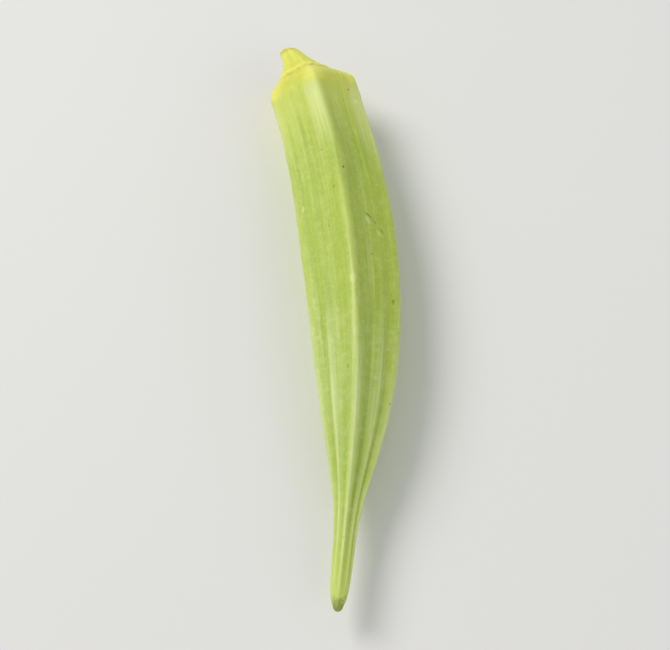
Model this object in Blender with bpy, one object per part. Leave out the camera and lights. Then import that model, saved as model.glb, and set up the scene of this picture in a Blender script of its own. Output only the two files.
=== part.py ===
"""One okra pod as picked, lying on one of its five faces. Metres, +Z up.

The pod is one grown piece: cut stalk, cap, ring scar, ribbed body and beak. The beak points to -Y,
the stalk to +Y, one ridge is uppermost, and two low ridges rest on the plane z = 0.
"""

import math

import bmesh
import bpy
from mathutils import Matrix, Vector

# Driving sizes
POD_LENGTH = 0.140  # along the curved axis, from the stalk's cut to the tip
POD_WIDTH = 0.021  # across the belly, between the two side ridges
RIDGES = 5
REST_FLAT = 0.00022  # how deep the two lowest ridges are worn flat where the pod rests

SECTOR = 2 * math.pi / RIDGES
HALF_SECTOR = SECTOR / 2
TOP_RIDGE = math.pi / 2
RIDGE_RADIUS = POD_WIDTH / 2 / math.sin(SECTOR)  # from the axis to a ridge's crest at the belly

# Places along the axis are shares of POD_LENGTH. Each pair below is a place and a value there,
# and smooth_curve runs through them.
SCAR = 0.053  # the ring where the calyx fell off
CREST_RADIUS = (  # shares of RIDGE_RADIUS
    (0.000, 0.185),
    (0.022, 0.270),
    (0.038, 0.372),
    (SCAR, 0.500),
    (0.069, 0.705),
    (0.085, 0.870),
    (0.100, 0.940),
    (0.118, 0.962),
    (0.145, 0.952),
    (0.180, 0.957),
    (0.290, 0.985),
    (0.370, 1.000),
    (0.430, 0.990),
    (0.480, 0.965),
    (0.535, 0.925),
    (0.590, 0.868),
    (0.651, 0.778),
    (0.716, 0.640),
    (0.771, 0.480),
    (0.829, 0.315),
    (0.881, 0.232),
    (0.928, 0.204),
    (0.963, 0.182),
    (0.977, 0.160),
    (0.985, 0.138),
    (0.990, 0.110),
    (0.997, 0.080),
    (1.000, 0.040),
)
ANGULARITY = (  # 0 is a round section, 1 a five-sided one
    (0.00, 0.20),
    (0.03, 0.30),
    (SCAR, 0.48),
    (0.12, 0.92),
    (0.25, 1.00),
    (0.80, 1.00),
    (0.90, 0.70),
    (1.00, 0.30),
)
FACE_HOLLOW = (  # how far a face's middle sinks in, as a share of the crest's radius
    (0.00, 0.000),
    (SCAR, 0.010),
    (0.15, 0.028),
    (0.60, 0.034),
    (0.85, 0.030),
    (1.00, 0.000),
)
FACE_GROOVES = (  # how deep the two grooves beside a face's weaker rib are
    (0.00, 0.020),
    (SCAR, 0.000),
    (0.20, 0.010),
    (0.45, 0.018),
    (0.60, 0.042),
    (0.72, 0.075),
    (0.85, 0.120),
    (0.94, 0.080),
    (0.98, 0.030),
    (1.00, 0.000),
)
RIDGE_CORD = (  # how far the cord along each ridge stands out
    (0.00, 0.000),
    (SCAR, 0.005),
    (0.20, 0.014),
    (0.70, 0.022),
    (0.85, 0.045),
    (0.95, 0.030),
    (1.00, 0.000),
)

# Where the weaker rib runs on each face, from 0 at one ridge to 1 at the next. The faces go
# anticlockwise from the top ridge, seen from the tip.
WEAKER_RIBS = (0.65, 0.46, 0.52, 0.55, 0.37)

CORNER_SHARPNESS = 20  # a higher power makes the five corners crisper
CORD_HALF_WIDTH = 0.0013  # the raised cord along each ridge
SCAR_LIP = 0.00018  # how far the scar's lip stands out
SCAR_LIP_WIDTH = 0.0007
SCAR_GROOVE = 0.00016  # how deep the line beside the lip is
SCAR_GROOVE_OFFSET = 0.0013

# The axis seen from above: the beak runs straight to -Y, the body bends to -X, the stalk more so.
BODY_BEND = math.radians(20)
BODY_BEND_FROM = 0.80
STALK_BEND = math.radians(20)
STALK_BEND_FROM = 0.12
# The axis seen from the side
BEAK_DROOP = 0.0016
BEAK_DROOP_FROM = 0.60
STALK_RISE = 0.0024
STALK_RISE_FROM = 0.14
CUT_SLANT = math.radians(24)  # the stalk is cut askew, longest on its -X side
CUT_SLANT_FADES = 0.09

RINGS_IN_CAP = 24
RINGS_IN_BODY = 30
RINGS_IN_BEAK = 14
CAP_END = 0.145
BODY_END = 0.80
STEPS_PER_HALF_SECTOR = 6
CREST_CROWDING = 1.45  # a higher power brings more of the steps close to the ridges
TIP_CROWDING = 1.6  # a higher power brings more of the beak's rings close to the tip
BELLY_STEPS = 600
SHARP_EDGE = math.radians(40)
SIDES = RIDGES * 2 * STEPS_PER_HALF_SECTOR
AXIS_STEPS = 400

SKIN_COLOUR = (0.46, 0.57, 0.15, 1.0)
SKIN_ROUGHNESS = 0.5


def smooth_curve(points, place):
    """The value at a place on a smooth curve through (place, value) pairs."""
    if place <= points[0][0]:
        return points[0][1]
    if place >= points[-1][0]:
        return points[-1][1]

    def slope(index):
        before = points[max(index - 1, 0)]
        after = points[min(index + 1, len(points) - 1)]
        return (after[1] - before[1]) / (after[0] - before[0])

    index = max(i for i, point in enumerate(points) if point[0] <= place)
    (start, low), (end, high) = points[index], points[index + 1]
    span = end - start
    t = (place - start) / span
    return (
        low * (1 + 2 * t) * (1 - t) ** 2
        + high * t * t * (3 - 2 * t)
        + slope(index) * span * t * (1 - t) ** 2
        - slope(index + 1) * span * t * t * (1 - t)
    )


def ease(value):
    """0 below 0, 1 above 1, with a smooth start and end."""
    value = min(max(value, 0.0), 1.0)
    return value * value * (3 - 2 * value)


def five_sided(turn):
    """A rounded pentagon's radius, 1 at a ridge. turn is the angle from a ridge."""
    total = 0.0
    for side in range(RIDGES):
        facing = math.cos(turn - HALF_SECTOR - side * SECTOR)
        total += max(facing, 0.0) ** CORNER_SHARPNESS
    crest = (2 * math.cos(HALF_SECTOR) ** CORNER_SHARPNESS) ** (-1 / CORNER_SHARPNESS)
    return total ** (-1 / CORNER_SHARPNESS) / crest


def scar_relief(place):
    """The scar's raised lip, and the fine groove on its body side."""
    from_lip = (place - SCAR) * POD_LENGTH
    lip = SCAR_LIP * math.exp(-((from_lip / SCAR_LIP_WIDTH) ** 2))
    groove = SCAR_GROOVE * math.exp(-(((from_lip - SCAR_GROOVE_OFFSET) / SCAR_LIP_WIDTH) ** 2))
    return lip - groove


def across_face(angle):
    """(share, spread) at an angle round the axis. Both go from 0 at one ridge to 1 at the next.

    share is even. spread is drawn out so that it is half at the face's weaker rib.
    """
    turned = (angle - TOP_RIDGE) / SECTOR
    face = math.floor(turned)
    share = turned - face
    rib = WEAKER_RIBS[face % RIDGES]
    if share < rib:
        return share, 0.5 * share / rib
    return share, 1 - 0.5 * (1 - share) / (1 - rib)


def skin_radius(place, angle):
    """The distance from the axis to the skin at an angle round it."""
    share, spread = across_face(angle)
    turn = (share - round(share)) * SECTOR
    crest = smooth_curve(CREST_RADIUS, place) * RIDGE_RADIUS
    cord_angle = CORD_HALF_WIDTH / crest
    shape = 1 - smooth_curve(ANGULARITY, place) * (1 - five_sided(turn))
    shape -= smooth_curve(FACE_HOLLOW, place) * math.sin(math.pi * share) ** 2
    shape -= smooth_curve(FACE_GROOVES, place) * math.sin(2 * math.pi * spread) ** 2
    shape -= smooth_curve(RIDGE_CORD, place) * (1 - math.exp(-((turn / cord_angle) ** 2)))
    return crest * shape + scar_relief(place)


def lowest_of_belly():
    """How far below the axis the skin of the widest section reaches."""
    widest = max(CREST_RADIUS, key=lambda point: point[1])[0]
    angles = [2 * math.pi * step / BELLY_STEPS for step in range(BELLY_STEPS)]
    return max(-skin_radius(widest, angle) * math.sin(angle) for angle in angles)


def heading(place):
    """The axis's direction from above, as an angle from -Y. The stalk end points back and to -X."""
    body = BODY_BEND * min(max((BODY_BEND_FROM - place) / (BODY_BEND_FROM - STALK_BEND_FROM), 0.0), 1.0)
    return body + STALK_BEND * ease((STALK_BEND_FROM - place) / STALK_BEND_FROM)


def axis_points():
    """The axis at AXIS_STEPS + 1 even places, walked from the stalk's cut to the tip."""
    step = POD_LENGTH / AXIS_STEPS
    belly_height = lowest_of_belly() - REST_FLAT
    here = Vector((0.0, 0.0, 0.0))
    points = [here.copy()]
    for index in range(AXIS_STEPS):
        turned = heading((index + 0.5) / AXIS_STEPS)
        here += Vector((math.sin(turned), -math.cos(turned), 0.0)) * step
        points.append(here.copy())
    for index, point in enumerate(points):
        place = index / AXIS_STEPS
        droop = BEAK_DROOP * ease((place - BEAK_DROOP_FROM) / (1 - BEAK_DROOP_FROM))
        rise = STALK_RISE * ease((STALK_RISE_FROM - place) / STALK_RISE_FROM)
        point.z = belly_height - droop + rise
    return points


def ring_places():
    """Where the rings of vertices lie along the axis: close together on the cap and the tip."""
    cap = [CAP_END * i / RINGS_IN_CAP for i in range(RINGS_IN_CAP)]
    body = [CAP_END + (BODY_END - CAP_END) * i / RINGS_IN_BODY for i in range(RINGS_IN_BODY)]
    left = [(1 - i / RINGS_IN_BEAK) ** TIP_CROWDING for i in range(RINGS_IN_BEAK + 1)]
    beak = [1 - (1 - BODY_END) * share for share in left]
    return cap + body + beak


def side_angle(side):
    """The angle round the axis of one of the SIDES lengthwise lines."""
    ridge, step = divmod(side + STEPS_PER_HALF_SECTOR, 2 * STEPS_PER_HALF_SECTOR)
    share = step / STEPS_PER_HALF_SECTOR - 1
    turn = math.copysign(abs(share) ** CREST_CROWDING, share) * HALF_SECTOR
    return TOP_RIDGE + ridge * SECTOR + turn


def unit_tube(rings):
    """A closed upright tube, 1 high, with that many rings of SIDES vertices."""
    tube = bmesh.new()
    bmesh.ops.create_cone(
        tube,
        cap_ends=True,
        segments=SIDES,
        radius1=1,
        radius2=1,
        depth=1,
        matrix=Matrix.Translation((0, 0, 0.5)),
    )
    upright = [e for e in tube.edges if abs(e.verts[0].co.z - e.verts[1].co.z) > 0.5]
    bmesh.ops.subdivide_edges(tube, edges=upright, cuts=rings - 2, use_grid_fill=True)
    return tube


def pod_point(place, angle, axis):
    """The place in space of a point of the skin."""
    at = place * AXIS_STEPS
    before = min(int(at), AXIS_STEPS - 1)
    centre = axis[before].lerp(axis[before + 1], at - before)
    along = (axis[before + 1] - axis[before]).normalized()
    side = Vector((0, 0, 1)).cross(along).normalized()
    up = along.cross(side)
    radius = skin_radius(place, angle)
    across = radius * math.cos(angle)
    stalk_radius = CREST_RADIUS[0][1] * RIDGE_RADIUS
    slant = math.tan(CUT_SLANT) * (across + stalk_radius) * max(0.0, 1 - place / CUT_SLANT_FADES)
    return centre + side * across + up * radius * math.sin(angle) + along * slant


def build_pod():
    places = ring_places()
    axis = axis_points()
    tube = unit_tube(len(places))
    for vertex in tube.verts:
        place = places[round(vertex.co.z * (len(places) - 1))]
        even = math.atan2(vertex.co.y, vertex.co.x) % (2 * math.pi)
        angle = side_angle(round(even / (2 * math.pi) * SIDES))
        vertex.co = pod_point(place, angle, axis)
    for vertex in tube.verts:
        vertex.co.z = max(vertex.co.z, 0.0)  # the two rest flats
    low = Vector([min(v.co[i] for v in tube.verts) for i in range(3)])
    high = Vector([max(v.co[i] for v in tube.verts) for i in range(3)])
    middle = (low + high) / 2
    bmesh.ops.translate(tube, verts=tube.verts, vec=(-middle.x, -middle.y, 0.0))
    bmesh.ops.recalc_face_normals(tube, faces=tube.faces)
    mesh = bpy.data.meshes.new("okra_pod")
    tube.to_mesh(mesh)
    tube.free()
    mesh.shade_smooth()
    mesh.set_sharp_from_angle(angle=SHARP_EDGE)
    return bpy.data.objects.new("okra_pod", mesh)


def skin_material():
    material = bpy.data.materials.new("okra_skin")
    material.use_nodes = True
    shader = material.node_tree.nodes["Principled BSDF"]
    shader.inputs["Base Color"].default_value = SKIN_COLOUR
    shader.inputs["Roughness"].default_value = SKIN_ROUGHNESS
    shader.inputs["Metallic"].default_value = 0.0
    return material


for old in list(bpy.data.objects):
    bpy.data.objects.remove(old)

okra = bpy.data.collections.new("okra")
bpy.context.scene.collection.children.link(okra)
pod = build_pod()
pod.data.materials.append(skin_material())
okra.objects.link(pod)
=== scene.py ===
import functools
import math
import random
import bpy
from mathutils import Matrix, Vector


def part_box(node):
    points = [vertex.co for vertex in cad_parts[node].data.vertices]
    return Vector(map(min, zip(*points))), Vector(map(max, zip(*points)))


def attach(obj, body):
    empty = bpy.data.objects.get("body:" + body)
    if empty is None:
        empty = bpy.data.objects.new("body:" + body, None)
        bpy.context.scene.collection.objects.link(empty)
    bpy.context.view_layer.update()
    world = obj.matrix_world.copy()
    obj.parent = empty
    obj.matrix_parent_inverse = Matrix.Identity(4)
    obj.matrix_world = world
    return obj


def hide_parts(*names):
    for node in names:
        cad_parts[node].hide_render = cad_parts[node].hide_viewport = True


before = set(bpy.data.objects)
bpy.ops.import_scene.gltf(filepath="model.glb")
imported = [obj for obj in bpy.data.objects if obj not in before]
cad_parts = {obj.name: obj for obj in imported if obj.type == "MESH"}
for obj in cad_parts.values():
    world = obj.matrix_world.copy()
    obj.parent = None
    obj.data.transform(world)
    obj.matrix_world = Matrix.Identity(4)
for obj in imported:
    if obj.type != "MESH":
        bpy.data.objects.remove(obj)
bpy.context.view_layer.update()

import types

import bmesh
import bpy
from mathutils import Matrix, Vector, noise

scene = bpy.context.scene

# The pod's skin: one grown skin from the cut stalk, over the cap and its ring scar, down the five
# ribbed faces to the beak. It is thin, stiff and faintly downy, paler on the ribs, and it has the
# shallow lengthwise fibres, the swell of the seeds and the small nicks of a picked pod.
POD_LENGTH = 0.140  # along the curved axis, from the stalk's cut to the tip
POD_WIDTH = 0.021  # across the belly, between the two side ridges
RIDGES = 5
REST_FLAT = 0.00022  # how deep the two lowest ridges are pressed flat where the pod rests

SECTOR = 2 * math.pi / RIDGES
HALF_SECTOR = SECTOR / 2
TOP_RIDGE = math.pi / 2
RIDGE_RADIUS = POD_WIDTH / 2 / math.sin(SECTOR)

# Places along the axis are shares of POD_LENGTH. Each pair is a place and a value there.
SCAR = 0.053
CREST_RADIUS = (  # shares of RIDGE_RADIUS
    (0.000, 0.185),
    (0.022, 0.270),
    (0.038, 0.372),
    (SCAR, 0.500),
    (0.069, 0.705),
    (0.085, 0.870),
    (0.100, 0.940),
    (0.118, 0.962),
    (0.145, 0.952),
    (0.180, 0.957),
    (0.290, 0.985),
    (0.370, 1.000),
    (0.430, 0.990),
    (0.480, 0.965),
    (0.535, 0.925),
    (0.590, 0.868),
    (0.651, 0.778),
    (0.716, 0.640),
    (0.771, 0.480),
    (0.829, 0.315),
    (0.881, 0.232),
    (0.928, 0.204),
    (0.963, 0.182),
    (0.977, 0.160),
    (0.985, 0.138),
    (0.990, 0.110),
    (0.997, 0.080),
    (1.000, 0.040),
)
ANGULARITY = (  # 0 is a round section, 1 a five-sided one
    (0.00, 0.20),
    (0.03, 0.30),
    (SCAR, 0.48),
    (0.12, 0.92),
    (0.25, 1.00),
    (0.80, 1.00),
    (0.90, 0.70),
    (1.00, 0.30),
)
FACE_HOLLOW = (  # how far a face's middle sinks in, as a share of the crest's radius
    (0.00, 0.000),
    (SCAR, 0.010),
    (0.15, 0.028),
    (0.60, 0.034),
    (0.85, 0.030),
    (1.00, 0.000),
)
FACE_GROOVES = (  # how deep the two grooves beside a face's weaker rib are, as such a share
    (0.00, 0.020),
    (SCAR, 0.000),
    (0.20, 0.010),
    (0.45, 0.018),
    (0.60, 0.042),
    (0.72, 0.075),
    (0.85, 0.120),
    (0.94, 0.080),
    (0.98, 0.030),
    (1.00, 0.000),
)
RIDGE_CORD = (  # how far the cord along each ridge stands out, as such a share
    (0.00, 0.000),
    (SCAR, 0.005),
    (0.20, 0.014),
    (0.70, 0.022),
    (0.85, 0.045),
    (0.95, 0.030),
    (1.00, 0.000),
)

# Where the weaker rib runs on each face, from 0 at one ridge to 1 at the next. The faces go
# anticlockwise from the top ridge, seen from the tip.
WEAKER_RIBS = (0.65, 0.46, 0.52, 0.55, 0.37)

CORNER_SHARPNESS = 20  # a higher power makes the ridges sharper
CORD_HALF_WIDTH = 0.0013

# The calyx's ring scar: a raised lip, and a fine groove beside it
SCAR_LIP = 0.00026
SCAR_LIP_WIDTH = 0.0008
SCAR_GROOVE = 0.00016
SCAR_GROOVE_OFFSET = 0.0013

# How the axis bends, droops and rises, and the place from which each one grows towards its end
BODY_BEND = math.radians(20)
BODY_BEND_FROM = 0.80
STALK_BEND = math.radians(20)
STALK_BEND_FROM = 0.12
BEAK_DROOP = 0.0016
BEAK_DROOP_FROM = 0.60
STALK_RISE = 0.0024
STALK_RISE_FROM = 0.14
CUT_SLANT = math.radians(24)  # the stalk is cut askew, longest on its -X side
CUT_SLANT_FADES = 0.09

# How finely the shape is worked out and meshed
AXIS_STEPS = 400
BELLY_STEPS = 600
SIDES = 240
RINGS_IN_CAP = 90
RINGS_IN_BODY = 190
RINGS_IN_BEAK = 70
CAP_END = 0.145
BODY_END = 0.80
TIP_CROWDING = 1.4  # a higher power brings more of the beak's rings close to the tip
CUT_SHARES = (0.04, 0.20, 0.38, 0.55, 0.70, 0.82, 0.91, 0.97)  # rings on the cut, of the stalk's radius
TIP_SHARES = (0.7, 0.4, 0.1)  # rings that close the tip
SHARP_EDGE = math.radians(50)

# Patterns of the relief: how strong each is, how often it repeats round the pod and along it, and
# where in the noise it starts
FIBRES = (0.000035, 17, 7, (0, 0, 0))
VEINS = (0.00010, 5.5, 4, (7, 3, 1))
SEEDS = (0.00013, 2.6, 24, (2, 9, 4))
WRINKLES = (0.00016, 7, 26, (5, 1, 8))
RIDGE_NICKS = (0.00012, 2, 42, (0, 0, 0))
RIDGE_SWAY = (math.radians(1.2), 1, 6, (0, 0, 0))
RIB_WANDER = (0.0006, 1.5, 9, (4, 4, 2))
SCAR_WANDER = (0.0030, 3, 0, (0, 0, 0))
SCAR_RAGGED = (0.9, 9, 0, (0, 0, 0.3))

# The places between which each fades, from where it is missing to where it is full
SEEDS_BEGIN = (0.10, 0.16)
SEEDS_END = (0.80, 0.65)
WRINKLES_END = (0.13, 0.06)  # they are on the stalk and the cap

SCAR_DIP = 0.0015  # how far the scar dips towards the body between the ridges
KNOB_HEIGHT = 0.00034  # each ridge begins in a small knob
KNOB_PLACE, KNOB_REACH = 0.088, 0.016
CUT_ROUGHNESS = 0.00022
CUT_GRAIN = 1600  # rough spots a metre
CUT_DISH = 0.00026  # how far the cut's middle is sunk

# The pale ribs and the grooves' painted shade: half widths and strengths at the belly and at the beak,
# and the places between which they change from one to the other
RIDGE_HALF_WIDTH = (0.0018, 0.0009)
WEAKER_HALF_WIDTH = (0.0019, 0.0008)
RIBS_NARROW = (0.45, 0.85)
RIDGE_SHOWS = (0.60, 1.0)
WEAKER_RIB_SHOWS = (0.16, 0.85)
RIBS_GROW = (0.44, 0.72)
GROOVES_BEGIN = (0.12, 0.22)
GROOVE_SHOWS = 0.30  # how much a groove's painted shade shows on the body where it is shallow
DEEP_GROOVE = 0.12  # the depth at which the painted shade shows in full


def smooth_curve(points, place):
    """The value at a place on a smooth curve through (place, value) pairs."""
    if place <= points[0][0]:
        return points[0][1]
    if place >= points[-1][0]:
        return points[-1][1]

    def slope(index):
        before = points[max(index - 1, 0)]
        after = points[min(index + 1, len(points) - 1)]
        return (after[1] - before[1]) / (after[0] - before[0])

    index = max(i for i, point in enumerate(points) if point[0] <= place)
    (start, low), (end, high) = points[index], points[index + 1]
    span = end - start
    t = (place - start) / span
    return (
        low * (1 + 2 * t) * (1 - t) ** 2
        + high * t * t * (3 - 2 * t)
        + slope(index) * span * t * (1 - t) ** 2
        - slope(index + 1) * span * t * t * (1 - t)
    )


def ease(value):
    """0 below 0, 1 above 1, with a smooth start and end."""
    value = min(max(value, 0.0), 1.0)
    return value * value * (3 - 2 * value)


def fade(place, where):
    """0 at the place where[0] and 1 at where[1], which may be the lower of the two."""
    return ease((place - where[0]) / (where[1] - where[0]))


def grade(place, where, values):
    """From values[0] to values[1] as place goes from where[0] to where[1]."""
    return values[0] + (values[1] - values[0]) * fade(place, where)


def swell(distance, reach):
    """1 at no distance, and almost nothing at twice the reach."""
    return math.exp(-((distance / reach) ** 2))


def across_face(angle):
    """(share, spread) at an angle round the axis. Both go from 0 at one ridge to 1 at the next.

    share is even. spread is drawn out so that it is half at the face's weaker rib.
    """
    turned = (angle - TOP_RIDGE) / SECTOR
    face = math.floor(turned)
    share = turned - face
    rib = WEAKER_RIBS[face % RIDGES]
    if share < rib:
        return share, 0.5 * share / rib
    return share, 1 - 0.5 * (1 - share) / (1 - rib)


def from_ridge(share):
    """The angle from the nearest ridge, at a share of the way across a face."""
    return (share - round(share)) * SECTOR


@functools.lru_cache(maxsize=None)
def five_sided(turn):
    """A rounded pentagon's radius, 1 at a ridge. turn is the angle from a ridge."""
    total = 0.0
    for side in range(RIDGES):
        facing = math.cos(turn - HALF_SECTOR - side * SECTOR)
        total += max(facing, 0.0) ** CORNER_SHARPNESS
    crest = (2 * math.cos(HALF_SECTOR) ** CORNER_SHARPNESS) ** (-1 / CORNER_SHARPNESS)
    return total ** (-1 / CORNER_SHARPNESS) / crest


@functools.lru_cache(maxsize=None)
def section(place):
    """What shapes the pod's section at a place."""
    return types.SimpleNamespace(
        crest=smooth_curve(CREST_RADIUS, place) * RIDGE_RADIUS,
        angularity=smooth_curve(ANGULARITY, place),
        hollow=smooth_curve(FACE_HOLLOW, place),
        grooves=smooth_curve(FACE_GROOVES, place),
        cord=smooth_curve(RIDGE_CORD, place),
    )


def skin_radius(place, angle):
    """The distance from the axis to the plain skin at an angle round it."""
    here = section(place)
    share, spread = across_face(angle)
    turn = from_ridge(share)
    shape = 1 - here.angularity * (1 - five_sided(round(turn, 6)))
    shape -= here.hollow * math.sin(math.pi * share) ** 2
    shape -= here.grooves * math.sin(2 * math.pi * spread) ** 2
    shape -= here.cord * (1 - swell(turn * here.crest, CORD_HALF_WIDTH))
    return here.crest * shape


def lowest_of_belly():
    """How far below the axis the skin of the widest section reaches."""
    widest = max(CREST_RADIUS, key=lambda point: point[1])[0]
    angles = [2 * math.pi * step / BELLY_STEPS for step in range(BELLY_STEPS)]
    return max(-skin_radius(widest, angle) * math.sin(angle) for angle in angles)


def heading(place):
    """The axis's direction from above, as an angle from -Y. The stalk end points back and to -X."""
    body = BODY_BEND * min(max((BODY_BEND_FROM - place) / (BODY_BEND_FROM - STALK_BEND_FROM), 0.0), 1.0)
    return body + STALK_BEND * fade(place, (STALK_BEND_FROM, 0))


def axis_points():
    """The axis at AXIS_STEPS + 1 even places, walked from the stalk's cut to the tip."""
    step = POD_LENGTH / AXIS_STEPS
    base = lowest_of_belly() - REST_FLAT
    here = Vector((0.0, 0.0, 0.0))
    points = [here.copy()]
    for index in range(AXIS_STEPS):
        turned = heading((index + 0.5) / AXIS_STEPS)
        here += Vector((math.sin(turned), -math.cos(turned), 0.0)) * step
        points.append(here.copy())
    for index, point in enumerate(points):
        place = index / AXIS_STEPS
        droop = BEAK_DROOP * fade(place, (BEAK_DROOP_FROM, 1))
        rise = STALK_RISE * fade(place, (STALK_RISE_FROM, 0))
        point.z = base - droop + rise
    return points


AXIS = axis_points()


@functools.lru_cache(maxsize=None)
def section_frame(place):
    """(centre, side, up, along) of the section at a place."""
    at = place * AXIS_STEPS
    before = min(int(at), AXIS_STEPS - 1)
    centre = AXIS[before].lerp(AXIS[before + 1], at - before)
    along = (AXIS[before + 1] - AXIS[before]).normalized()
    side = Vector((0, 0, 1)).cross(along).normalized()
    return centre, side, along.cross(side), along


def grown(place, angle, often_round, often_along):
    """Where a point of the skin lies in a pattern that is drawn out as the pod grew."""
    return Vector((math.cos(angle) * often_round, math.sin(angle) * often_round, place * often_along))


def relief(pattern, place, angle):
    """How high a pattern is at a point of the skin."""
    strength, often_round, often_along, start = pattern
    return strength * noise.noise(grown(place, angle, often_round, often_along) + Vector(start))


def from_scar(place, angle):
    """How far past the scar's lip a point lies. The scar dips between the ridges and wanders a little."""
    wander = relief(SCAR_WANDER, place, angle) + SCAR_DIP * math.cos(RIDGES * (angle - TOP_RIDGE))
    return (place - SCAR + wander) * POD_LENGTH


def scar_relief(place, angle):
    """The scar's raised ragged lip, and the fine groove on its body side."""
    past = from_scar(place, angle)
    lip = SCAR_LIP * (1 + relief(SCAR_RAGGED, place, angle)) * swell(past, SCAR_LIP_WIDTH)
    return lip - SCAR_GROOVE * swell(past - SCAR_GROOVE_OFFSET, SCAR_LIP_WIDTH)


def fine_relief(place, angle):
    """The height of the fibres, veins, seeds, wrinkles, nicks and knobs above the plain skin."""
    share, _ = across_face(angle)
    ridge = swell(from_ridge(share) * section(place).crest, CORD_HALF_WIDTH)
    width = section(place).crest / RIDGE_RADIUS
    fibres = relief(FIBRES, place, angle)
    veins = relief(VEINS, place, angle) * width
    seeds = relief(SEEDS, place, angle) * fade(place, SEEDS_BEGIN) * fade(place, SEEDS_END) * (1 - ridge)
    wrinkles = relief(WRINKLES, place, angle) * fade(place, WRINKLES_END)
    nicks = relief(RIDGE_NICKS, place, angle) * width
    knob = KNOB_HEIGHT * swell(place - KNOB_PLACE, KNOB_REACH)
    return fibres + veins + (nicks + knob) * ridge + seeds + wrinkles


def rib_or_groove(place, angle):
    """1 on a ridge, less on a face's weaker rib, and below 0 in the grooves between them, where painted shade
    is laid on.
    """
    here = section(place)
    share, spread = across_face(angle)
    wander = relief(RIB_WANDER, place, angle) * here.crest / RIDGE_RADIUS
    off_ridge = from_ridge(share) * here.crest + wander
    off_weaker = (spread - 0.5) * SECTOR * here.crest + wander
    ridge = swell(off_ridge, grade(place, RIBS_NARROW, RIDGE_HALF_WIDTH))
    weaker = swell(off_weaker, grade(place, RIBS_NARROW, WEAKER_HALF_WIDTH))
    ridge *= grade(place, RIBS_GROW, RIDGE_SHOWS)
    weaker *= grade(place, RIBS_GROW, WEAKER_RIB_SHOWS)
    depth = max(ease(here.grooves / DEEP_GROOVE), GROOVE_SHOWS * fade(place, GROOVES_BEGIN))
    return ridge + weaker - depth * math.sin(2 * math.pi * spread) ** 2


def pod_point(place, share, angle):
    """The place in space of a point of the skin, or of an end's closing face where share is under 1."""
    centre, side, up, along = section_frame(place)
    swayed = angle + relief(RIDGE_SWAY, place, angle)
    radius = (skin_radius(place, angle) + scar_relief(place, angle) + fine_relief(place, angle)) * share
    across = radius * math.cos(swayed)
    rise = radius * math.sin(swayed)
    stalk_radius = CREST_RADIUS[0][1] * RIDGE_RADIUS
    slant = math.tan(CUT_SLANT) * (across + stalk_radius) * max(0.0, 1 - place / CUT_SLANT_FADES)
    point = centre + side * across + up * rise + along * slant
    if place == 0.0:
        rough = noise.noise(Vector((across * CUT_GRAIN, rise * CUT_GRAIN, 5)))
        point += along * (CUT_ROUGHNESS * rough + CUT_DISH * (1 - share ** 4))
    return point


def ring_list():
    """(place, share) of every ring of vertices, from the middle of the cut to the middle of the tip."""
    cut = [(0.0, share) for share in CUT_SHARES]
    cap = [(CAP_END * i / RINGS_IN_CAP, 1.0) for i in range(RINGS_IN_CAP)]
    body = [(CAP_END + (BODY_END - CAP_END) * i / RINGS_IN_BODY, 1.0) for i in range(RINGS_IN_BODY)]
    left = [(1 - i / RINGS_IN_BEAK) ** TIP_CROWDING for i in range(RINGS_IN_BEAK + 1)]
    beak = [(1 - (1 - BODY_END) * share, 1.0) for share in left]
    tip = [(1.0, share) for share in TIP_SHARES]
    return cut + cap + body + beak + tip


def upright_tube(rings):
    """A closed tube of height 1, with a ring of vertices at each of so many even heights."""
    tube = bmesh.new()
    standing = Matrix.Translation((0, 0, 0.5))
    bmesh.ops.create_cone(
        tube, cap_ends=True, segments=SIDES, radius1=1, radius2=1, depth=1, matrix=standing
    )
    upright = [e for e in tube.edges if abs(e.verts[0].co.z - e.verts[1].co.z) > 0.5]
    bmesh.ops.subdivide_edges(tube, edges=upright, cuts=rings - 2, use_grid_fill=True)
    return tube


def pod_mesh():
    """(mesh, move): the skin as one closed tube, and the level move that brings it to its solid.

    What its colours need is kept as attributes. grown is the direction from the axis and the place
    along it, rib is rib_or_groove, cut goes from 0 at the cut's rim to 1 at its middle, and scar is the
    distance past the scar's lip in millimetres.
    """
    rings = ring_list()
    tube = upright_tube(len(rings))
    grown_layer = tube.verts.layers.float_vector.new("grown")
    rib_layer = tube.verts.layers.float.new("rib")
    cut_layer = tube.verts.layers.float.new("cut")
    scar_layer = tube.verts.layers.float.new("scar")
    for vertex in tube.verts:
        place, share = rings[round(vertex.co.z * (len(rings) - 1))]
        step = round(math.atan2(vertex.co.y, vertex.co.x) / (2 * math.pi) * SIDES) % SIDES
        angle = step / SIDES * 2 * math.pi
        vertex[grown_layer] = grown(place, angle, 1, 1)
        vertex[rib_layer] = rib_or_groove(place, angle)
        vertex[cut_layer] = 1 - share if place == 0.0 else 0.0
        vertex[scar_layer] = from_scar(place, angle) * 1000
        vertex.co = pod_point(place, share, angle)
    bmesh.ops.recalc_face_normals(tube, faces=tube.faces)
    low = Vector([min(v.co[i] for v in tube.verts) for i in range(3)])
    high = Vector([max(v.co[i] for v in tube.verts) for i in range(3)])
    node_low, node_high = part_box("okra_pod")
    move = (Vector(node_low) + Vector(node_high)) / 2 - (low + high) / 2
    move.z = 0.0
    for vertex in tube.verts:
        vertex.co += move
        vertex.co.z = max(vertex.co.z, 0.0)
    mesh = bpy.data.meshes.new("pod_skin")
    tube.to_mesh(mesh)
    tube.free()
    mesh.shade_smooth()
    mesh.set_sharp_from_angle(angle=SHARP_EDGE)
    return mesh, move


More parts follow.
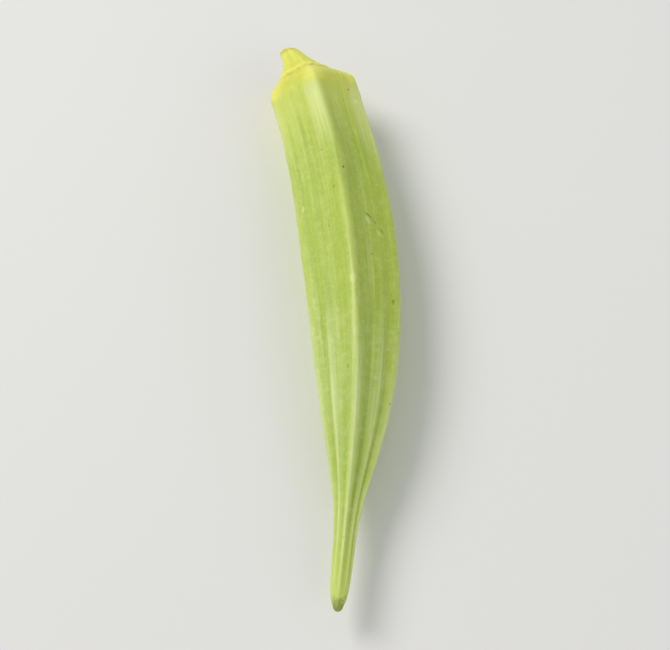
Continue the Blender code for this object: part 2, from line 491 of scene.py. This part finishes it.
def add_node(tree, kind, inputs=None, **settings):
    """A shader node with its settings, and its inputs linked or set."""
    node = tree.nodes.new(kind)
    for name, value in settings.items():
        setattr(node, name, value)
    for name, value in (inputs or {}).items():
        if isinstance(value, bpy.types.NodeSocket):
            tree.links.new(value, node.inputs[name])
        else:
            node.inputs[name].default_value = value
    return node


def calculate(tree, operation, first, second=0.0):
    """A maths node's result."""
    return add_node(tree, "ShaderNodeMath", {0: first, 1: second}, operation=operation).outputs[0]


def product(tree, *values):
    """All the values multiplied."""
    return functools.reduce(lambda first, second: calculate(tree, "MULTIPLY", first, second), values)


def remap(tree, value, low, high, to_low=0.0, to_high=1.0):
    """value from low to high, brought smoothly to to_low to to_high."""
    inputs = {"Value": value, "From Min": low, "From Max": high, "To Min": to_low, "To Max": to_high}
    return add_node(tree, "ShaderNodeMapRange", inputs, interpolation_type="SMOOTHSTEP").outputs[0]


def on_stretch(tree, place, stretch):
    """1 on a stretch of the pod and 0 beyond it."""
    (begins, full), (fades, ends) = stretch
    return product(tree, remap(tree, place, begins, full), remap(tree, place, ends, fades))


def mix_colour(tree, factor, first, second):
    """The first colour where the factor is 0, the second where it is 1."""
    # Inputs 6 and 7 and output 2 are the node's colour sockets.
    inputs = {0: factor, 6: first, 7: second}
    return add_node(tree, "ShaderNodeMix", inputs, data_type="RGBA").outputs[2]


def streak_group():
    """Noise drawn out along the pod, with how often it repeats round the pod and along it."""
    group = bpy.data.node_groups.new("grown_streaks", "ShaderNodeTree")
    group.interface.new_socket("Grown", in_out="INPUT", socket_type="NodeSocketVector")
    for name in ("Round", "Along", "Seed"):
        group.interface.new_socket(name, in_out="INPUT", socket_type="NodeSocketFloat")
    group.interface.new_socket("Streak", in_out="OUTPUT", socket_type="NodeSocketFloat")
    entry = add_node(group, "NodeGroupInput").outputs
    often = {"X": entry["Round"], "Y": entry["Round"], "Z": entry["Along"]}
    stretch = add_node(group, "ShaderNodeCombineXYZ", often).outputs[0]
    drawn_out = add_node(group, "ShaderNodeVectorMath", {0: entry["Grown"], 1: stretch}, operation="MULTIPLY")
    pattern = add_node(
        group,
        "ShaderNodeTexNoise",
        {"Vector": drawn_out.outputs[0], "W": entry["Seed"], "Scale": 1.0, "Detail": 3.0, "Roughness": 0.55},
        noise_dimensions="4D",
    )
    add_node(group, "NodeGroupOutput", {"Streak": pattern.outputs["Fac"]})
    return group


def mark_group():
    """A small mark on the skin: 1 at its centre, 0 outside, with a ragged edge.

    Outward, Lengthwise and Crosswise are its three directions, each as long as one over its reach.
    """
    raggedness = 1.6
    edge = (1.9, 1.2)
    group = bpy.data.node_groups.new("skin_mark", "ShaderNodeTree")
    ways = ("Outward", "Lengthwise", "Crosswise")
    for name in ("Grown", "Centre") + ways:
        group.interface.new_socket(name, in_out="INPUT", socket_type="NodeSocketVector")
    group.interface.new_socket("Mark", in_out="OUTPUT", socket_type="NodeSocketFloat")
    entry = add_node(group, "NodeGroupInput").outputs
    ends = {0: entry["Grown"], 1: entry["Centre"]}
    apart = add_node(group, "ShaderNodeVectorMath", ends, operation="SUBTRACT")
    shares = {}
    for axis, way in zip("XYZ", ways):
        inputs = {0: apart.outputs[0], 1: entry[way]}
        dot = add_node(group, "ShaderNodeVectorMath", inputs, operation="DOT_PRODUCT")
        shares[axis] = dot.outputs["Value"]
    within = add_node(group, "ShaderNodeCombineXYZ", shares).outputs[0]
    far = add_node(group, "ShaderNodeVectorMath", {0: within}, operation="LENGTH").outputs["Value"]
    rough = {"Vector": within, "Scale": 1.6, "Detail": 4.0, "Roughness": 0.7}
    ragged = add_node(group, "ShaderNodeTexNoise", rough).outputs["Fac"]
    reach = calculate(group, "ADD", far, product(group, ragged, raggedness))
    add_node(group, "NodeGroupOutput", {"Mark": remap(group, reach, *edge)})
    return group


STREAKS = streak_group()
MARK = mark_group()
MARK_DEPTH = 0.004  # a mark reaches this far in from the skin, so it isn't on the far side too


def place_streaks(tree, where, often_round, often_along, seed):
    """One use of the streak group."""
    inputs = {"Grown": where, "Round": often_round, "Along": often_along, "Seed": seed}
    return add_node(tree, "ShaderNodeGroup", inputs, node_tree=STREAKS).outputs["Streak"]


def place_mark(tree, where, place, degrees, half_length, half_width, slant):
    """One use of the mark group, for a mark at a place along the pod and an angle round it."""
    angle = math.radians(degrees)
    crest = section(place).crest
    outward = Vector((math.cos(angle), math.sin(angle), 0))
    along = Vector((0, 0, POD_LENGTH))
    round_pod = Vector((-math.sin(angle), math.cos(angle), 0)) * crest
    cos, sin = math.cos(math.radians(slant)), math.sin(math.radians(slant))
    inputs = {
        "Grown": where,
        "Centre": outward + Vector((0, 0, place)),
        "Outward": outward * crest / MARK_DEPTH,
        "Lengthwise": (along * cos + round_pod * sin) / half_length,
        "Crosswise": (round_pod * cos - along * sin) / half_width,
    }
    return add_node(tree, "ShaderNodeGroup", inputs, node_tree=MARK).outputs["Mark"]


STALK_YELLOW = (0.83, 0.83, 0.12, 1)
CAP_YELLOW = (0.67, 0.66, 0.05, 1)
CAP_GREEN = (0.56, 0.64, 0.07, 1)
SHOULDER_GREEN = (0.58, 0.68, 0.10, 1)
BODY_GREEN = (0.40, 0.53, 0.045, 1)
LOWER_GREEN = (0.44, 0.57, 0.09, 1)
BEAK_GREEN = (0.52, 0.65, 0.095, 1)
TIP_OLIVE = (0.27, 0.34, 0.045, 1)
PALE_STALK = (0.85, 0.85, 0.14, 1)
PALE_RIDGE = (0.66, 0.75, 0.20, 1)
FROSTED_RIB = (0.70, 0.79, 0.34, 1)
# Pale yellow-green: a painted sheen beside the ridges, and the colour of the pale rubs
PAINTED_SHEEN_AND_RUB = (0.80, 0.86, 0.38, 1)
# Deep green: real streaks on the body, and painted shade in the grooves
DEEP_GREEN_AND_GROOVE_SHADE = (0.26, 0.41, 0.03, 1)
# Bright pale yellow: the lip's own colour lifted as a painted highlight, and a painted highlight on the ridge
# knobs
LIP_YELLOW_AND_HIGHLIGHT = (0.90, 0.87, 0.15, 1)
SCAR_OCHRE = (0.56, 0.40, 0.06, 1)
NICK_BROWN = (0.15, 0.15, 0.025, 1)
CUT_PITH = (0.76, 0.78, 0.42, 1)
CUT_FIBRE = (0.62, 0.66, 0.26, 1)
CUT_RIM = (0.45, 0.50, 0.12, 1)
PLACE_COLOURS = (
    (0.000, STALK_YELLOW),
    (0.080, CAP_YELLOW),
    (0.145, SHOULDER_GREEN),
    (0.250, BODY_GREEN),
    (0.550, BODY_GREEN),
    (0.690, LOWER_GREEN),
    (0.870, BEAK_GREEN),
)

# How far the streaks and the ridges shift these colours along the pod, and about the mean of that
BROAD_SHIFT, MIDDLE_SHIFT, RIDGE_SHIFT = 0.10, 0.07, 0.024
MEAN_SHIFT = 0.068

# Stretches of the pod: the places between which each fades in, and those between which it fades out
KNOB_HIGHLIGHT = ((0.060, 0.078), (0.094, 0.116))
PAINTED_SHEEN_BAND = ((0.095, 0.13), (0.15, 0.30))
GREEN_BODY = ((0.09, 0.20), (0.90, 0.99))
FROSTED = ((0.36, 0.66), (0.84, 0.97))

# Ends of the pod: the places between which each goes from nothing to its full strength
YELLOW_CAP = (0.15, 0.09)
GREENER_RIBS = (0.06, 0.13)
DRIED_RIM = (0.011, 0.001)
DRY_TIP = (0.998, 1.012)
TIP_RAGGED = 0.036  # how much the grain adds to the place there

# The pale bloom, a painted sheen, lies 8 degrees past each ridge, which is this much of the five waves round
# the pod.
PAINTED_SHEEN_TURN = RIDGES * math.radians(8)

# Distances past the scar's lip, in millimetres. The lip's painted highlight fades in between the first pair.
LIP_HIGHLIGHT = (1.2, 0.1)
BLOTS_MIDDLE = 0.9
BLOTS_REACH = (0.9, 0.1)

# Places on the cut, from 0 at its rim to 1 at its middle
SKIN_TO_RIM = (0.0, 0.04)
FIBRES_TO_RIM = (0.16, 0.04)
FIBRES_TO_PITH = (0.34, 0.42)
BROWN_RING = 0.38
BROWN_RING_REACH = (0.07, 0.01)

FRECKLE_CELLS = 300.0  # a metre
FRECKLE_EDGE = (0.10, 0.04)  # from a cell's middle
FRECKLED_CELLS = (0.62, 0.80)

# Small marks: place along the pod, degrees round it, half length and half width in metres, slant in
# degrees, strength
DARK_MARKS = (
    (0.376, 56, 0.0014, 0.00034, -60, 0.62),
    (0.387, 46, 0.0006, 0.00034, -50, 0.40),
    (0.400, 36, 0.0007, 0.00032, -50, 0.45),
    (0.297, 85, 0.0005, 0.00034, 20, 0.75),
    (0.328, 100, 0.0005, 0.00035, 0, 0.40),
    (0.520, 27, 0.0007, 0.00032, 10, 0.55),
    (0.122, 37, 0.0005, 0.00035, 0, 0.60),
    (0.640, 104, 0.0005, 0.00035, 0, 0.50),
    (0.270, 190, 0.0012, 0.00030, 25, 0.70),
    (0.450, 262, 0.0008, 0.00050, 0, 0.60),
    (0.560, 318, 0.0010, 0.00040, -15, 0.70),
)
PALE_MARKS = (
    (0.145, 29, 0.0007, 0.00060, 0, 0.80),
    (0.386, 58, 0.0014, 0.00070, -45, 0.40),
    (0.406, 41, 0.0013, 0.00070, -45, 0.35),
    (0.502, 91, 0.0016, 0.00080, 0, 0.50),
    (0.340, 152, 0.0010, 0.00040, 5, 0.35),
    (0.610, 230, 0.0016, 0.00060, 10, 0.40),
)


def skin_patterns(tree):
    """The attributes, the streaks and the specks that the skin's colours and bumps are made from."""
    where = add_node(tree, "ShaderNodeAttribute", attribute_name="grown").outputs["Vector"]
    parts = add_node(tree, "ShaderNodeSeparateXYZ", {0: where}).outputs
    in_metres = add_node(tree, "ShaderNodeTexCoord").outputs["Object"]

    def attribute(name):
        return add_node(tree, "ShaderNodeAttribute", attribute_name=name).outputs["Fac"]

    def specks(scale, detail):
        inputs = {"Vector": in_metres, "Scale": scale, "Detail": detail, "Roughness": 0.6}
        return add_node(tree, "ShaderNodeTexNoise", inputs).outputs["Fac"]

    five_waves = product(tree, calculate(tree, "ARCTAN2", parts["Y"], parts["X"]), float(RIDGES))
    turned_waves = calculate(tree, "SUBTRACT", five_waves, PAINTED_SHEEN_TURN)
    return types.SimpleNamespace(
        where=where,
        in_metres=in_metres,
        place=parts["Z"],
        rib=attribute("rib"),
        cut=attribute("cut"),
        scar=attribute("scar"),
        near_ridge=remap(tree, calculate(tree, "SINE", five_waves), -0.2, 0.95),
        sheen_beside_ridge=remap(tree, calculate(tree, "SINE", turned_waves), 0.1, 0.95),
        broad=place_streaks(tree, where, 5, 2.5, 1.0),
        middle=place_streaks(tree, where, 13, 6, 2.0),
        fine=place_streaks(tree, where, 40, 22, 3.0),
        patchy=place_streaks(tree, where, 7, 9, 4.0),
        cap_streaks=place_streaks(tree, where, 9, 16, 6.0),
        scar_blots=place_streaks(tree, where, 4, 60, 7.0),
        mottle=specks(420.0, 4.0),
        grain=specks(900.0, 4.0),
        down=specks(2600.0, 2.0),
    )


def ground_colour(tree, skin):
    """Yellow on the stalk and the cap, green on the body, streaked as the pod grew."""
    broad, middle = product(tree, skin.broad, BROAD_SHIFT), product(tree, skin.middle, MIDDLE_SHIFT)
    shift = calculate(tree, "ADD", broad, middle)
    shift = calculate(tree, "SUBTRACT", shift, product(tree, skin.near_ridge, RIDGE_SHIFT))
    uneven = calculate(tree, "ADD", skin.place, calculate(tree, "SUBTRACT", shift, MEAN_SHIFT))
    ramp = add_node(tree, "ShaderNodeValToRGB", {"Fac": uneven})
    for index, (position, colour) in enumerate(PLACE_COLOURS):
        stops = ramp.color_ramp.elements
        stop = stops[index] if index < 2 else stops.new(position)
        stop.position = position
        stop.color = colour
    colour = ramp.outputs["Color"]

    # Each row is a pattern, the values between which its streaks come in, their strength, where they
    # are, and their colour.
    on_cap = remap(tree, uneven, *YELLOW_CAP)
    on_body = on_stretch(tree, skin.place, GREEN_BODY)
    for pattern, low, high, strength, part, streak_colour in (
        (skin.cap_streaks, 0.50, 0.68, 0.70, on_cap, CAP_GREEN),
        (skin.cap_streaks, 0.46, 0.30, 0.60, on_cap, PALE_STALK),
        (skin.broad, 0.48, 0.68, 0.40, on_body, DEEP_GREEN_AND_GROOVE_SHADE),
        (skin.broad, 0.46, 0.30, 0.40, on_body, PALE_RIDGE),
        (skin.middle, 0.44, 0.28, 0.28, on_body, DEEP_GREEN_AND_GROOVE_SHADE),
        (skin.middle, 0.52, 0.75, 0.30, 1.0, PALE_RIDGE),
        (skin.fine, 0.42, 0.66, 0.18, 1.0, PALE_RIDGE),
    ):
        shown = product(tree, remap(tree, pattern, low, high, 0.0, strength), part)
        colour = mix_colour(tree, shown, colour, streak_colour)
    return colour


def with_ribs(tree, skin, colour):
    """Pale ribs, frosted on the lower body, with painted shade in the grooves beside them: a deeper green
    where shade falls.

    It also lays on the yellow knobs, brightened as a painted highlight, a pale painted sheen just past each
    ridge, and the skin's specks.
    """
    pale = mix_colour(tree, remap(tree, skin.place, *GREENER_RIBS), PALE_STALK, PALE_RIDGE)
    pale = mix_colour(tree, on_stretch(tree, skin.place, FROSTED), pale, FROSTED_RIB)
    on_rib = remap(tree, skin.rib, 0.0, 1.1)
    for pattern in (skin.middle, skin.patchy):
        on_rib = product(tree, on_rib, remap(tree, pattern, 0.30, 0.60, 0.40, 1.0))
    colour = mix_colour(tree, on_rib, colour, pale)
    # Painted shade: the grooves beside the ribs are darkened to a deeper green.
    painted_groove_shade = product(tree, remap(tree, skin.rib, 0.0, -0.9), remap(tree, skin.patchy, 0.3, 0.6, 0.2, 0.5))
    colour = mix_colour(tree, painted_groove_shade, colour, DEEP_GREEN_AND_GROOVE_SHADE)
    # Painted sheen: a pale band just past each ridge below the cap, lighter on one side as if lit.
    below_cap = on_stretch(tree, skin.place, PAINTED_SHEEN_BAND)
    streaky = remap(tree, skin.middle, 0.30, 0.62, 0.30, 0.70)
    colour = mix_colour(tree, product(tree, skin.sheen_beside_ridge, below_cap, streaky), colour, PAINTED_SHEEN_AND_RUB)
    # Painted highlight: the knobs where the ridges begin are laid on in bright pale yellow.
    knobs = on_stretch(tree, skin.place, KNOB_HIGHLIGHT)
    colour = mix_colour(tree, product(tree, skin.near_ridge, knobs, 0.62), colour, LIP_YELLOW_AND_HIGHLIGHT)
    for pattern, low, high, strength, speck_colour in (
        (skin.mottle, 0.35, 0.70, 0.20, pale),
        (skin.grain, 0.50, 0.72, 0.30, pale),
        (skin.grain, 0.48, 0.28, 0.22, CAP_GREEN),
        (skin.down, 0.52, 0.75, 0.22, pale),
    ):
        colour = mix_colour(tree, remap(tree, pattern, low, high, 0.0, strength), colour, speck_colour)
    return colour


def with_scar(tree, skin, colour):
    """The scar's lip, pale yellow with a painted highlight, and the soft brown patches beside it."""
    # Painted highlight: the lip is brightened to pale yellow, over its own paler colour.
    lip = remap(tree, calculate(tree, "ABSOLUTE", skin.scar), *LIP_HIGHLIGHT, 0.0, 0.7)
    colour = mix_colour(tree, lip, colour, LIP_YELLOW_AND_HIGHLIGHT)
    beside = calculate(tree, "ABSOLUTE", calculate(tree, "SUBTRACT", skin.scar, BLOTS_MIDDLE))
    blots = remap(tree, skin.scar_blots, 0.42, 0.70, 0.10, 0.75)
    return mix_colour(tree, product(tree, blots, remap(tree, beside, *BLOTS_REACH)), colour, SCAR_OCHRE)


def with_marks(tree, skin, colour):
    """Freckles, the nicks and rubs of picking, and the dry olive tip."""
    spots = add_node(tree, "ShaderNodeTexVoronoi", {"Vector": skin.in_metres, "Scale": FRECKLE_CELLS})
    which = add_node(tree, "ShaderNodeSeparateColor", {0: spots.outputs["Color"]}).outputs[0]
    dots = remap(tree, spots.outputs["Distance"], *FRECKLE_EDGE)
    freckles = product(tree, dots, remap(tree, which, *FRECKLED_CELLS, 0.0, 0.5))
    colour = mix_colour(tree, freckles, colour, NICK_BROWN)
    for marks, mark_colour in ((DARK_MARKS, NICK_BROWN), (PALE_MARKS, PAINTED_SHEEN_AND_RUB)):
        for *mark, strength in marks:
            shown = product(tree, place_mark(tree, skin.where, *mark), strength)
            colour = mix_colour(tree, shown, colour, mark_colour)
    ragged = calculate(tree, "ADD", skin.place, product(tree, skin.grain, TIP_RAGGED))
    return mix_colour(tree, remap(tree, ragged, *DRY_TIP, 0.0, 0.85), colour, TIP_OLIVE)


def with_cut(tree, skin, colour):
    """The stalk's cut: a green rim, a ring of fibres, and pale pith that has begun to brown.

    The skin next to it has dried brown in patches.
    """
    patches = remap(tree, skin.patchy, 0.35, 0.60, 0.20, 0.85)
    dried = product(tree, remap(tree, skin.place, *DRIED_RIM), patches)
    colour = mix_colour(tree, dried, colour, SCAR_OCHRE)
    rays = place_streaks(tree, skin.where, 12, 0, 5.0)
    fibres = mix_colour(tree, remap(tree, rays, 0.40, 0.60), CUT_FIBRE, CUT_PITH)
    pith = mix_colour(tree, remap(tree, skin.grain, 0.46, 0.72, 0.0, 0.5), CUT_PITH, SCAR_OCHRE)
    face = mix_colour(tree, remap(tree, skin.cut, *FIBRES_TO_PITH), fibres, pith)
    from_ring = calculate(tree, "ABSOLUTE", calculate(tree, "SUBTRACT", skin.cut, BROWN_RING))
    face = mix_colour(tree, remap(tree, from_ring, *BROWN_RING_REACH, 0.0, 0.4), face, SCAR_OCHRE)
    face = mix_colour(tree, remap(tree, skin.cut, *FIBRES_TO_RIM), face, CUT_RIM)
    return mix_colour(tree, remap(tree, skin.cut, *SKIN_TO_RIM), colour, face)


def skin_material():
    """The skin's colours laid one over the other, with its fine bumps and its satin sheen."""
    material = bpy.data.materials.new("okra_skin")
    material.use_nodes = True
    tree = material.node_tree
    tree.nodes.clear()
    skin = skin_patterns(tree)
    colour = ground_colour(tree, skin)
    for layer in (with_ribs, with_scar, with_marks, with_cut):
        colour = layer(tree, skin, colour)
    height = product(tree, skin.fine, 0.6)
    for pattern, share in ((skin.down, 0.25), (skin.mottle, 0.35), (skin.cap_streaks, 0.5)):
        height = calculate(tree, "ADD", height, product(tree, pattern, share))
    bump = add_node(tree, "ShaderNodeBump", {"Strength": 0.5, "Distance": 0.00018, "Height": height})
    shader = add_node(
        tree,
        "ShaderNodeBsdfPrincipled",
        {
            "Base Color": colour,
            "Roughness": remap(tree, skin.middle, 0.3, 0.7, 0.54, 0.40),
            "Normal": bump.outputs["Normal"],
            "Specular IOR Level": 0.4,
            "Subsurface Weight": 0.12,
            "Subsurface Radius": (0.6, 1.0, 0.25),
            "Subsurface Scale": 0.0025,
            "Sheen Weight": 0.06,
            "Sheen Roughness": 0.4,
        },
    )
    add_node(tree, "ShaderNodeOutputMaterial", {"Surface": shader.outputs["BSDF"]})
    return material


def add_piece(name, mesh, material):
    """An object in the scene, with its mesh and its one material."""
    piece = bpy.data.objects.new(name, mesh)
    mesh.materials.append(material)
    scene.collection.objects.link(piece)
    return piece


skin_mesh, pod_move = pod_mesh()
pod_skin = add_piece("pod_skin", skin_mesh, skin_material())
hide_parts("okra_pod")
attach(pod_skin, "root")

# The down: short stiff pale hairs, thickest along the ridges, on the stalk and on the beak. They are
# brushed towards the tip, and each one stands in the skin.
HAIRS = 14000
HAIRS_IN_BATCH = 400
HAIR_SEED = 41
HAIRS_ALONG = (0.004, 0.985)  # the places between which they stand
HAIR_LENGTH = (0.00022, 0.00065)
HAIR_RADIUS = 0.000014
HAIR_ROOT = 0.00004  # how deep a hair stands in the skin
HAIR_LEAN = 0.8
HAIR_STRAY = 0.35
HAIRS_ON_RIDGES = 0.45  # the share that stands on the ridges
RIDGE_SPREAD = math.radians(5)
HAIR_COLOUR = (0.86, 0.88, 0.66, 1)

# The skin's slope is taken over a short way along the pod and a short turn round it.
SLOPE_STEP = 0.0015
SLOPE_TURN = 0.015


def surface(place, angle):
    """(point, outward normal, direction along the pod) on the skin."""
    here = pod_point(place, 1.0, angle)
    along = (pod_point(place + SLOPE_STEP, 1.0, angle) - here).normalized()
    round_pod = (pod_point(place, 1.0, angle + SLOPE_TURN) - here).normalized()
    return here, along.cross(round_pod).normalized(), along


def add_hair(batch, draw, move):
    """One hair at a drawn place, or none where it could reach the floor."""
    place = round(draw.uniform(*HAIRS_ALONG), 3)
    angle = draw.uniform(0, 2 * math.pi)
    if draw.random() < HAIRS_ON_RIDGES:
        angle = TOP_RIDGE + draw.randrange(RIDGES) * SECTOR + draw.gauss(0, RIDGE_SPREAD)
    length = draw.uniform(*HAIR_LENGTH)
    stray = Vector([draw.gauss(0, HAIR_STRAY) for _ in range(3)])
    point, normal, along = surface(place, angle)
    if point.z < length:
        return
    direction = (normal + along * HAIR_LEAN + stray).normalized()
    middle = point + move - normal * HAIR_ROOT + direction * length / 2
    turned = direction.to_track_quat("Z", "Y").to_matrix().to_4x4()
    bmesh.ops.create_cone(
        batch,
        cap_ends=True,
        segments=3,
        radius1=HAIR_RADIUS,
        radius2=0,
        depth=length,
        matrix=Matrix.Translation(middle) @ turned,
    )


def down_mesh(move):
    """All the hairs as one mesh. They are made in batches, because adding to a large mesh is slow."""
    draw = random.Random(HAIR_SEED)
    down = bmesh.new()
    for _ in range(HAIRS // HAIRS_IN_BATCH):
        batch = bmesh.new()
        for _ in range(HAIRS_IN_BATCH):
            add_hair(batch, draw, move)
        batch_mesh = bpy.data.meshes.new("down_batch")
        batch.to_mesh(batch_mesh)
        batch.free()
        down.from_mesh(batch_mesh)
        bpy.data.meshes.remove(batch_mesh)
    mesh = bpy.data.meshes.new("pod_down")
    down.to_mesh(mesh)
    down.free()
    return mesh


def plain_material(name, inputs):
    """A material of one colour, from its shader's inputs."""
    material = bpy.data.materials.new(name)
    material.use_nodes = True
    for socket, value in inputs.items():
        material.node_tree.nodes["Principled BSDF"].inputs[socket].default_value = value
    return material


hair_material = plain_material("okra_down", {"Base Color": HAIR_COLOUR, "Roughness": 0.45})
pod_down = add_piece("pod_down", down_mesh(pod_move), hair_material)
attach(pod_down, "root")

# The floor: a plain pale matt sheet under the pod, which isn't part of it. It reaches past what the
# camera sees.
FLOOR_SIZE = 6.0
FLOOR_INPUTS = {"Base Color": (0.83, 0.825, 0.81, 1), "Roughness": 0.9, "Specular IOR Level": 0.1}
bed = bmesh.new()
bmesh.ops.create_grid(bed, x_segments=1, y_segments=1, size=FLOOR_SIZE / 2)
floor_mesh = bpy.data.meshes.new("floor")
bed.to_mesh(floor_mesh)
bed.free()
floor = add_piece("floor", floor_mesh, plain_material("floor_paper", FLOOR_INPUTS))

# The light: a broad soft one from behind the pod's left, as in the photograph, a weak one from the
# front right, and an even pale surround.
POD_MIDDLE = Vector((0.003, -0.004, 0.009))
SURROUND_COLOUR = (0.95, 0.97, 1.0, 1)
SURROUND_STRENGTH = 0.48


def soft_light(name, place, size, power, colour):
    """A round area light that faces the pod."""
    light = bpy.data.lights.new(name, "AREA")
    light.shape = "DISK"
    light.size = size
    light.energy = power
    light.color = colour
    lamp = bpy.data.objects.new(name, light)
    lamp.location = place
    lamp.rotation_euler = (POD_MIDDLE - Vector(place)).to_track_quat("-Z", "Y").to_euler()
    scene.collection.objects.link(lamp)


soft_light("key_light", (-0.75, 0.35, 0.85), size=0.7, power=8.0, colour=(1.0, 0.985, 0.95))
soft_light("fill_light", (0.7, -0.5, 0.6), size=0.9, power=1.5, colour=(1.0, 0.99, 0.92))
surround = bpy.data.worlds.new("surround")
surround.use_nodes = True
surround.node_tree.nodes["Background"].inputs["Color"].default_value = SURROUND_COLOUR
surround.node_tree.nodes["Background"].inputs["Strength"].default_value = SURROUND_STRENGTH
scene.world = surround
scene.view_settings.view_transform = "Standard"

# The camera: at the photograph's viewing angle, in line with the beak and looking down on it, with a
# long lens so that the pod fills the frame.
CAMERA_AZIMUTH = math.radians(5.5)
CAMERA_ELEVATION = math.radians(59)
CAMERA_DISTANCE = 0.377
LENS = 95.0
SENSOR_WIDTH = 36.0
camera_data = bpy.data.cameras.new("camera")
camera_data.lens = LENS
camera_data.sensor_width = SENSOR_WIDTH
camera = bpy.data.objects.new("camera", camera_data)
level = math.cos(CAMERA_ELEVATION)
toward_camera = Vector(
    (level * math.sin(CAMERA_AZIMUTH), -level * math.cos(CAMERA_AZIMUTH), math.sin(CAMERA_ELEVATION))
)
camera.location = POD_MIDDLE + toward_camera * CAMERA_DISTANCE
camera.rotation_euler = (-toward_camera).to_track_quat("-Z", "Y").to_euler()
scene.collection.objects.link(camera)
scene.camera = camera
